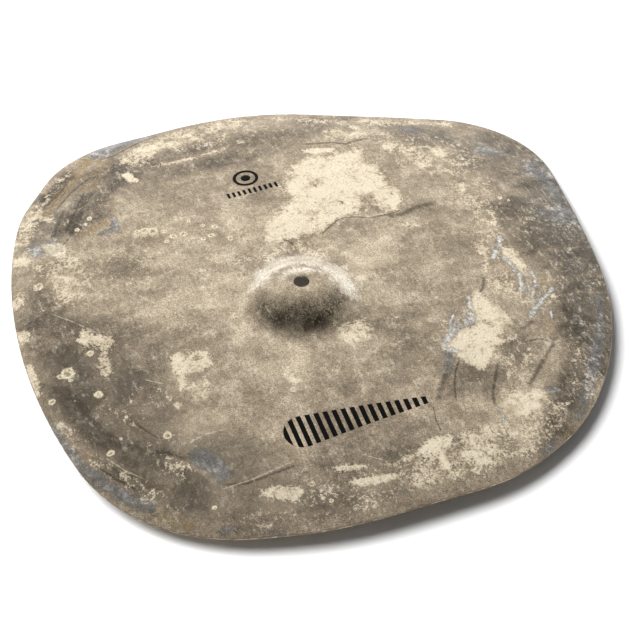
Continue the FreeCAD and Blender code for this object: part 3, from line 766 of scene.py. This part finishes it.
def add_fields(mesh, x, y, under):
    """Give the sheet's mesh all the numbers that its material reads."""
    top = under == TOP
    for name, values in stains_and_painted_light(x, y).items():
        set_field(mesh, name, np.where(top, values, 0.0))
    set_field(mesh, "drop", np.where(top, drop_reach(x, y), NO_DROP))
    set_field(mesh, "under", under)
    set_field(mesh, "rim_gap", rim(np.arctan2(y, x)) - np.hypot(x, y))


# --- Shader graphs ------------------------------------------------------------------------------------

def srgb(r, g, b):
    """A colour given by its 0 to 255 display values, as linear numbers."""
    def linear(v):
        v /= 255
        return v / 12.92 if v <= 0.04045 else ((v + 0.055) / 1.055) ** 2.4
    return (linear(r), linear(g), linear(b), 1.0)


class Value:
    """A number that a shader works out. Values add and multiply, so that a mask is written as a formula."""

    def __init__(self, graph, socket):
        self.graph = graph
        self.socket = socket

    def __add__(self, other):
        return self.graph.math("ADD", self, other)

    def __sub__(self, other):
        return self.graph.math("SUBTRACT", self, other)

    def __mul__(self, other):
        return self.graph.math("MULTIPLY", self, other)

    def __abs__(self):
        return self.graph.math("ABSOLUTE", self)

    def step(self, low, high, start=0.0, end=1.0):
        """A smooth step from start, where this is at low, to end, where it is at high."""
        node = self.graph.node("MapRange", self, low, high, start, end, interpolation_type="SMOOTHSTEP")
        return Value(self.graph, node.outputs["Result"])


class Graph:
    """Short names for shader nodes. Numbers come back as a Value, and colours and vectors as a socket."""

    def __init__(self, owner):
        """The owner is a new material or world, whose nodes are cleared."""
        owner.use_nodes = True
        self.tree = owner.node_tree
        self.tree.nodes.clear()

    def put(self, socket, value):
        if isinstance(value, Value):
            value = value.socket
        if isinstance(value, bpy.types.NodeSocket):
            self.tree.links.new(value, socket)
        else:
            socket.default_value = value

    def node(self, kind, *inputs, **settings):
        """A new node with its settings, and with its first inputs set or linked in order."""
        node = self.tree.nodes.new("ShaderNode" + kind)
        for name, value in settings.items():
            setattr(node, name, value)
        for socket, value in zip(node.inputs, inputs):
            self.put(socket, value)
        return node

    def fill(self, node, **inputs):
        """Set or link inputs by their names, with an underscore for a space."""
        for name, value in inputs.items():
            self.put(node.inputs[name.replace("_", " ")], value)
        return node

    def math(self, operation, *values):
        return Value(self, self.node("Math", *values, operation=operation).outputs[0])

    def field(self, name):
        return Value(self, self.node("Attribute", attribute_name=name).outputs["Fac"])

    def scaled(self, vector, scale):
        return self.fill(self.node("VectorMath", vector, operation="SCALE"), Scale=scale).outputs[0]

    def mix(self, share, a, b):
        node = self.node("Mix", data_type="RGBA", blend_type="MIX")
        self.put(node.inputs["Factor"], share)
        first, second = (socket for socket in node.inputs if socket.type == "RGBA")
        self.put(first, a)
        self.put(second, b)
        return next(socket for socket in node.outputs if socket.type == "RGBA")

    def ramp(self, value, stops):
        node = self.node("ValToRGB", value)
        elements = node.color_ramp.elements
        while len(elements) < len(stops):
            elements.new(1.0)
        for element, (place, colour) in zip(elements, stops):
            element.position = place
            element.color = colour
        return node.outputs[0]

    def place(self, shift=(0, 0, 0), share=0.0, stretch=(1, 1, 1), turn=0.0):
        """The point's place in millimetres, moved by a share of shift, turned and stretched."""
        place = self.scaled(self.node("TexCoord").outputs["Object"], 1 / MM)
        place = self.node("VectorMath", place, self.scaled(shift, share), operation="ADD").outputs[0]
        return self.fill(self.node("Mapping"), Vector=place, Scale=stretch, Rotation=(0, 0, turn)).outputs[0]

    def noise(self, place, size, detail=4.0, rough=0.55, warp=0.0):
        """Fractal noise from 0 to 1 with features of about the given size in millimetres."""
        node = self.node("TexNoise")
        self.fill(node, Vector=place, Scale=1 / size, Detail=detail, Roughness=rough, Distortion=warp)
        return Value(self, node.outputs["Fac"])

    def bump(self, level, distance, strength):
        node = self.node("Bump")
        return self.fill(node, Strength=strength, Distance=distance, Height=level).outputs[0]

    def surface(self, **values):
        """Finish a material with one principled surface."""
        self.node("OutputMaterial", self.fill(self.node("BsdfPrincipled"), **values).outputs[0])


# --- Raw bronze ---------------------------------------------------------------------------------------

class Patina(Graph):
    """Colours laid one over another, with edges that all come from the same few noises."""

    def __init__(self, material):
        super().__init__(material)
        self.under = self.field("under")
        self.calm = self.field("calm")
        at = self.here(900.0, -700.0, 400.0)
        elsewhere = self.here(310.0, 120.0, 77.0)
        brushed = self.here(500.0, 300.0, 0.0, stretch=(1.0, 0.32, 1.0), turn=math.radians(38))
        run = self.here(50.0, 30.0, 0.0, stretch=(0.45, 1.0, 1.0), turn=math.radians(-24))
        self.big = self.swing(at, 60.0, 3.0, 0.6)
        self.middle = self.swing(at, 16.0, 5.0, 0.65, 0.4)
        self.clump = self.swing(elsewhere, 5.2, 7.0, 0.78, 0.25)
        self.small = self.swing(at, 4.2, 4.0, 0.62, 0.3)
        self.crumb = self.swing(at, 1.9, 3.0, 0.7)
        self.grain = self.swing(at, 1.0, 1.0, 0.8)
        self.brush = self.swing(brushed, 2.6, 4.0, 0.6)
        self.rolled = self.swing(run, 12.0, 5.0, 0.62)
        self.crumbs = self.clump * 0.85 + self.crumb * 0.6 + self.brush * 0.2
        self.lumps = self.big + self.middle * 0.3

    def here(self, *shift, **changes):
        """The point's place, shifted underneath so that the two sides of the sheet differ."""
        return self.place(shift, self.under, **changes)

    def swing(self, *settings):
        """Noise recentred on 0, with most of it between -1 and 1."""
        return self.math("MULTIPLY_ADD", self.noise(*settings), 9.0, -4.5)

    def unless_calm(self, strength, calm_strength):
        """A strength that is less where the skin is smooth."""
        return self.calm.step(0.0, 1.0, strength, calm_strength)

    def lay(self, share, colour):
        """Cover what is there with a colour."""
        self.colour = self.mix(share, self.colour, colour)

    def trace(self, name, wander, outer, inner):
        """1 along a trace's middle and 0 beside it, with an edge that wanders."""
        return (abs(self.field(name + "_across")) + wander).step(outer, inner) * self.field(name)

    def add_skin(self):
        """The skin's tone, from dark to light, with soft veils that end in tide marks. Its dark zones hold
        dark patina, and at the bell's front and beyond the lower-left fold also painted shade.
        """
        rough = self.middle * 0.6 + self.small * 0.5
        self.dark = self.field("dark") + rough * self.unless_calm(0.15, 0.05)
        self.dark += self.under * self.lumps.step(-0.2, -1.2, 0.0, 0.45)
        blotch = (self.middle + self.clump * 0.35).step(0.1, 0.4)
        tone = self.big * 0.06 + self.middle * 0.05 + blotch * 0.05
        tone += self.rolled * 0.052 + self.clump * 0.035 + self.brush * 0.035
        tone *= self.unless_calm(1.0, 0.35)
        for shift, size, amount in (((-80.0, 210.0, 5.0), 34.0, 0.075), ((140.0, -60.0, 9.0), 15.0, 0.04)):
            tide = self.swing(self.here(*shift), size, 6.0, 0.6, 0.8)
            mark = abs(tide - 0.25).step(0.14, 0.0)
            tone += (tide.step(0.15, 0.4) + mark) * amount
        self.colour = self.ramp(tone - self.dark * 0.42 + 0.60, [
            (0.0, srgb(60, 52, 40)),
            (0.25, srgb(106, 97, 84)),
            (0.62, srgb(163, 148, 127)),
            (1.0, srgb(218, 202, 176)),
        ])

    def add_craze(self):
        """Pale curls on the bell, and pale scuffs on the dark skin."""
        curl = abs(self.swing(self.here(33.0, 61.0, 2.0), 4.6, 3.0, 0.6, 1.4)).step(0.5, 0.1)
        self.lay(curl * self.field("bell") * self.small.step(-0.7, 0.5) * 0.6, srgb(206, 190, 158))
        scuffs = (self.brush + self.crumb * 0.5).step(1.0, 1.4) * self.field("dark").step(0.4, 0.9)
        self.lay(scuffs * self.unless_calm(0.4, 0.12), srgb(206, 192, 166))

    def add_crust(self):
        """Cream crust: its density decides how much of the fine noise turns to crust. Round the bell's back
        the crust is partly a painted highlight.
        """
        density = self.field("cream") + (self.middle + self.big * 0.5) * 0.10 - self.dark * 0.04
        density += self.under * self.lumps.step(0.4, 1.5, 0.1, 0.85)
        excess = self.crumbs + density * 4.1 - 1.75
        crust_tone = excess + (self.middle + self.small) * 0.5
        crust = self.mix(crust_tone.step(-0.3, 2.2), srgb(208, 191, 164), srgb(249, 236, 210))
        self.cream = excess.step(-0.05, 0.16)
        self.lay(self.cream * 0.92, crust)

    def add_bloom(self):
        """Ochre, and grey bloom with a darker edge."""
        ochre = self.field("ochre") + (self.small + self.clump + self.crumb) * 0.25
        self.lay(ochre.step(0.3, 0.95, 0.0, 0.66), srgb(157, 132, 92))
        bloom = self.field("bloom") + (self.small * 0.7 + self.clump) * 0.16
        self.lay(bloom.step(0.2, 0.36) * bloom.step(0.6, 0.38) * 0.4, srgb(88, 84, 77))
        mottle = (self.clump + self.middle) * self.unless_calm(0.22, 0.06) + self.unless_calm(0.5, 0.44)
        self.bloom = bloom.step(0.36, 0.58)
        self.lay(self.bloom * (self.cream * -0.6 + 0.8), self.ramp(mottle, [
            (0.0, srgb(80, 79, 77)),
            (0.4, srgb(113, 112, 110)),
            (0.7, srgb(140, 140, 140)),
            (1.0, srgb(205, 204, 200)),
        ]))

    def add_drops(self):
        """Dried drops: a cream edge round a darker middle."""
        drop = self.field("drop") + self.small * 0.14 + self.crumb * 0.08
        self.lay(drop.step(1.0, 0.7) * 0.6, srgb(212, 197, 167))
        self.lay(drop.step(0.62, 0.42) * self.crumbs.step(0.8, -0.2) * 0.6, srgb(136, 122, 98))
        edge = drop.step(1.15, 0.9) * drop.step(0.35, 0.65)
        self.lay(edge * self.crumb.step(-1.2, 0.2, 0.35, 0.85), srgb(238, 225, 196))

    def add_traces(self):
        """Dark lines, which are cracks and also painted shade along a fold, a valley and a scratch; pale
        scratches; and pale streaks with a grey outline.
        """
        self.cracks_and_painted_shade = self.trace("dark_trace", self.small * 0.35, 1.5, 0.1)
        self.lay(self.cracks_and_painted_shade * 0.68, srgb(68, 60, 47))
        self.lay(self.trace("pale_trace", self.small * 0.5, 1.4, 0.2) * 0.5, srgb(226, 212, 184))
        self.lay(self.trace("streak", self.small * 0.4, 1.9, 1.0) * 0.38, srgb(104, 99, 92))
        self.streak = self.trace("streak", (self.small + self.clump) * 0.5, 1.15, 0.1)
        streak_tone = self.mix(self.clump.step(-1.1, 0.5), srgb(150, 150, 149), srgb(243, 241, 235))
        self.lay(self.streak * 0.8, streak_tone)

    def add_pits_salt_and_painted_light(self):
        """A painted highlight round the back of the bell, pits and salt all over, and painted shade along
        the cut edge.
        """
        # Painted highlight: a pale cream-white laid round the back and top of the bell.
        painted_highlight = self.field("painted_highlight") + (self.brush + self.middle + self.clump) * 0.11
        self.lay(painted_highlight.step(0.0, 1.0), srgb(240, 231, 214))
        pits = self.swing(self.here(70.0, 40.0, 9.0), 2.8, 5.0, 0.7).step(0.9, 1.7)
        self.lay(pits * self.unless_calm(0.5, 0.2), srgb(98, 89, 74))
        salt = self.swing(self.here(20.0, 90.0, 31.0), 3.6, 6.0, 0.75).step(1.0, 1.7)
        self.lay(salt * self.unless_calm(0.5, 0.25), srgb(234, 221, 194))
        sand = (self.grain * 0.22 + self.crumb * 0.07) * self.unless_calm(1.0, 0.7)
        self.colour = self.scaled(self.colour, sand * (self.cream * -0.6 + 1.0) + 1.0)
        # Painted shade: the rim's cut edge is laid dark brown.
        edge_shade = self.field("rim_gap").step(0.5, 0.2) * self.small.step(-0.8, 0.6)
        self.lay(edge_shade * 0.7, srgb(92, 77, 54))


def raw_bronze():
    """Unlathed bronze: a mottled grey-brown skin with cream crusts, grey bloom, ochre and dark runs."""
    material = bpy.data.materials.new("raw_bronze_patina")
    p = Patina(material)
    p.add_skin()
    p.add_craze()
    p.add_crust()
    p.add_bloom()
    p.add_drops()
    p.add_traces()
    p.add_pits_salt_and_painted_light()
    roughness = p.cream * 0.12 + p.small * 0.02 + 0.36 - p.bloom * 0.08
    relief = p.crumbs * 0.16 + p.cream * 0.3 - p.cracks_and_painted_shade * 0.8 + p.streak * 0.5
    normal = p.bump(relief, 0.00028, 0.6)
    p.surface(Base_Color=p.colour, Metallic=0.9, Roughness=roughness, Normal=normal)
    return material


def black_ink():
    """Screen-printed ink: near black, with a slightly broken, satin surface."""
    material = bpy.data.materials.new("black_ink_print")
    g = Graph(material)
    fine = g.noise(g.place(), 1.6, 4.0, 0.6)
    colour = g.mix(fine.step(0.35, 0.7), srgb(5, 5, 4), srgb(14, 13, 12))
    roughness = fine.step(0.3, 0.7, 0.42, 0.6)
    normal = g.bump(fine, 0.00004, 0.6)
    g.surface(Base_Color=colour, Roughness=roughness, Specular_IOR_Level=0.06, Normal=normal)
    return material


# --- The pieces -----------------------------------------------------------------------------------------

def finish_piece(piece, node_name):
    """Hide the part's node that the piece stands in for, and let the piece ride on the body."""
    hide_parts(node_name)
    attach(piece, "root")


def make_plate():
    sheet = sheet_mesh()
    places = np.array(sheet.places)
    mesh = bpy.data.meshes.new("bronze_sheet")
    mesh.from_pydata(places * MM, [], sheet.faces)
    mesh.validate()
    mesh.shade_smooth()
    add_fields(mesh, places[:, 0], places[:, 1], np.array(sheet.under))
    mesh.materials.append(raw_bronze())
    finish_piece(add_to_scene("bronze_sheet", mesh), "bronze_plate")


# The marks' edges are split until few are longer than this, and points this close are one. Millimetres.
INK_EDGE = 2.5
INK_SPLITS = 4
INK_WELD = 0.001


def make_ink(name, node_name, ink):
    """The part's own printed mark, split finely and moved with the refined surface under it."""
    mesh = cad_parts[node_name].data.copy()
    mesh.name = name
    shape = bmesh.new()
    shape.from_mesh(mesh)
    bmesh.ops.remove_doubles(shape, verts=shape.verts, dist=INK_WELD * MM)
    for _ in range(INK_SPLITS):
        long = [e for e in shape.edges if e.calc_length() > INK_EDGE * MM]
        bmesh.ops.subdivide_edges(shape, edges=long, cuts=1)
        bmesh.ops.triangulate(shape, faces=[f for f in shape.faces if len(f.verts) > 3])
    places = np.array([vertex.co for vertex in shape.verts]) / MM
    for vertex, lift in zip(shape.verts, shaping(places[:, 0], places[:, 1])):
        vertex.co.z += lift * MM
    shape.to_mesh(mesh)
    shape.free()
    mesh.materials.clear()
    mesh.materials.append(ink)
    finish_piece(add_to_scene(name, mesh), node_name)


# --- The stage, in metres -------------------------------------------------------------------------------

# The camera is far off, about 44 degrees up, with a long lens. The world's glow is placed by its azimuth.
CAMERA_AZIMUTH = math.radians(-20.0)
CAMERA_AIM = Vector((0.0027, -0.0231, -0.0165))
CAMERA_PLACE = Vector((-0.5314, -1.4907, 1.5283))
LENS = 162.4


def towards(azimuth, elevation):
    """The direction from the object towards a viewer. Azimuth 0 is the front."""
    return Vector((
        math.sin(azimuth) * math.cos(elevation),
        -math.cos(azimuth) * math.cos(elevation),
        math.sin(elevation),
    ))


def make_camera():
    data = bpy.data.cameras.new("camera")
    data.lens = LENS
    camera = add_to_scene("camera", data)
    camera.location = CAMERA_PLACE
    camera.rotation_euler = (CAMERA_AIM - CAMERA_PLACE).to_track_quat("-Z", "Y").to_euler()
    bpy.context.scene.camera = camera


def make_key_box(azimuth, elevation, distance, size, power):
    """A soft round box in the direction given, facing the cymbal, that shows in no reflection."""
    data = bpy.data.lights.new("key_box", "AREA")
    data.shape = "DISK"
    data.size = size
    data.energy = power
    lamp = add_to_scene("key_box", data)
    direction = towards(math.radians(azimuth), math.radians(elevation))
    lamp.location = direction * distance
    lamp.rotation_euler = direction.to_track_quat("Z", "Y").to_euler()
    lamp.visible_glossy = False
    lamp.visible_camera = False


def make_under_glow(power, size, z):
    """A weak lamp under the bell, so that the floor seen through the bore isn't black."""
    data = bpy.data.lights.new("under_glow", "POINT")
    data.energy = power
    data.shadow_soft_size = size
    lamp = add_to_scene("under_glow", data)
    lamp.location = (0.0, 0.0, z)
    lamp.visible_camera = False


FLOOR_HALF = 6.0
FLOOR_CLEARANCE = 0.0005
# Millimetres from the bore: the floor glows further out, so that it meets the backdrop without a line.
FLOOR_WHITE_FROM = 500.0
FLOOR_WHITE_AT = 1800.0


def make_floor(low):
    """A plain pale floor just under the object's lowest point."""
    half, z = FLOOR_HALF, low - FLOOR_CLEARANCE
    mesh = bpy.data.meshes.new("floor")
    corners = [(-half, -half, z), (half, -half, z), (half, half, z), (-half, half, z)]
    mesh.from_pydata(corners, [], [(0, 1, 2, 3)])
    material = bpy.data.materials.new("pale_floor")
    g = Graph(material)
    away = Value(g, g.node("VectorMath", g.place(), operation="LENGTH").outputs["Value"])
    glow = away.step(FLOOR_WHITE_FROM, FLOOR_WHITE_AT)
    pale, white = (0.92, 0.92, 0.92, 1.0), (1.0, 1.0, 1.0, 1.0)
    g.surface(Base_Color=pale, Roughness=0.9, Emission_Color=white, Emission_Strength=glow)
    mesh.materials.append(material)
    add_to_scene("floor", mesh)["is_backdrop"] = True


# How bright the studio looks in a reflection: 1 is straight away from the camera and -1 is back towards it.
STUDIO_GLOW = [
    (-1.0, 0.9), (-0.85, 0.7), (-0.6, 0.02), (-0.15, 0.02), (0.05, 0.5),
    (0.3, 1.05), (0.75, 1.3), (0.9, 1.65), (1.0, 1.65),
]
BRIGHTEST = 1.65
STUDIO_FILL = 0.25
BACKDROP = 1.25
# Pale walls glow all round, up to these heights of the direction looked in, where 1 is straight up.
WALL_GLOW = 1.0
WALL_FULL = 0.38
WALL_TOP = 0.62


def make_world():
    """White to the camera, bright behind the cymbal in reflections, and a faint fill for everything else."""
    world = bpy.data.worlds.new("studio")
    world.cycles.sampling_method = "NONE"
    bpy.context.scene.world = world
    g = Graph(world)
    looked_in = g.node("TexCoord").outputs["Generated"]
    away = g.node("VectorMath", looked_in, -towards(CAMERA_AZIMUTH, 0.0), operation="DOT_PRODUCT")
    share = g.node("MapRange", away.outputs["Value"], -1.0).outputs["Result"]
    glow = g.fill(g.node("FloatCurve"), Value=share)
    curve = glow.mapping.curves[0]
    while len(curve.points) < len(STUDIO_GLOW):
        curve.points.new(0.5, 0.5)
    for point, (facing, level) in zip(curve.points, STUDIO_GLOW):
        point.location = ((facing + 1) / 2, level / BRIGHTEST)
    glow.mapping.update()
    rise = Value(g, g.node("SeparateXYZ", looked_in).outputs["Z"])
    wall = rise.step(WALL_TOP, WALL_FULL, 0.0, WALL_GLOW)
    reflected = g.math("MAXIMUM", Value(g, glow.outputs[0]) * BRIGHTEST, wall)

    def background(strength):
        return g.fill(g.node("Background"), Strength=strength).outputs[0]

    rays = g.node("LightPath").outputs
    shown = g.node("MixShader", rays["Is Glossy Ray"], background(STUDIO_FILL), background(reflected))
    shown = g.node("MixShader", rays["Is Camera Ray"], shown.outputs[0], background(BACKDROP))
    g.node("OutputWorld", shown.outputs[0])


make_plate()
ink = black_ink()
make_ink("front_ink_print", "front_ink_mark", ink)
make_ink("rear_emblem_print", "rear_ink_emblem", ink)
make_ink("rear_tick_print", "rear_ink_ticks", ink)
make_camera()
make_key_box(azimuth=-106.0, elevation=60.0, distance=5.0, size=4.0, power=440.0)
make_under_glow(power=0.008, size=0.004, z=-0.03)
make_floor(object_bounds()[0][2])
make_world()
bpy.context.scene.view_settings.view_transform = "Standard"
